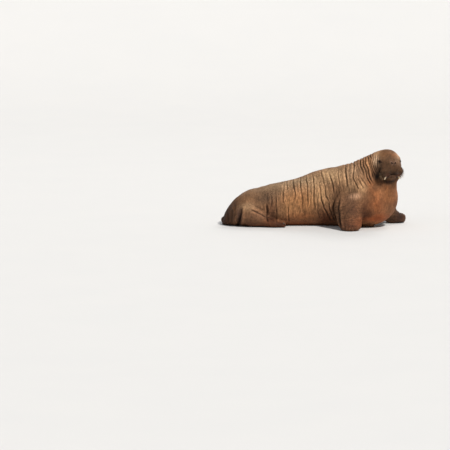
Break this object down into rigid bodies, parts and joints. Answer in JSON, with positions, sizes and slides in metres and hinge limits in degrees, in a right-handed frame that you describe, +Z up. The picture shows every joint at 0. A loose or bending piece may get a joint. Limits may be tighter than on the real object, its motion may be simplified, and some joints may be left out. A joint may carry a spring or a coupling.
{
  "type": "walrus model",
  "caption": "Life-size still model of a young walrus on its belly, propped on its fore flippers, head raised and turned to its right, with short tusks.",
  "frame": {"origin": "on the floor under the middle of the bounding box", "axes": "+X from the tail to the chest, -Y to the animal's right side, where its head is turned, +Z up"},
  "size_m": [1.9618, 1.0096, 0.8272],
  "materials": {
    "hide_rump": "dull, dark red-brown",
    "hide_hip": "dull, grey-brown",
    "hide_flank": "dull, brown with dark creases",
    "hide_chest": "dull, warm brown",
    "hide_neck": "dull, light brown",
    "hide_head": "dull, brown",
    "hide_muzzle": "dull, dark brown",
    "hide_jaw": "dull, dark brown",
    "hide_flipper": "dull, dark brown",
    "eye": "wet and shiny",
    "tusk": "smooth, ivory",
    "claw": "horn, slightly shiny"
  },
  "bodies": {
    "root": {"tail": "hide_rump", "hindquarters": "hide_hip", "torso": "hide_flank", "chest": "hide_chest", "neck": "hide_neck", "head": "hide_head", "muzzle": "hide_muzzle", "lower_jaw": "hide_jaw", "fore_flipper_right": "hide_flipper", "fore_flipper_left": "hide_flipper", "hind_flipper_right": "hide_flipper", "hind_flipper_left": "hide_flipper", "eye_right": "eye", "eye_left": "eye", "tusk_right": "tusk", "tusk_left": "tusk", "fore_claw_right_1": "claw", "fore_claw_right_2": "claw", "fore_claw_right_3": "claw", "fore_claw_right_4": "claw", "fore_claw_right_5": "claw", "fore_claw_left_1": "claw", "fore_claw_left_2": "claw", "fore_claw_left_3": "claw", "fore_claw_left_4": "claw", "fore_claw_left_5": "claw", "hind_claw_right_1": "claw", "hind_claw_right_2": "claw", "hind_claw_right_3": "claw", "hind_claw_right_4": "claw", "hind_claw_right_5": "claw", "hind_claw_left_1": "claw", "hind_claw_left_2": "claw", "hind_claw_left_3": "claw", "hind_claw_left_4": "claw", "hind_claw_left_5": "claw"}
  },
  "joints": []
}
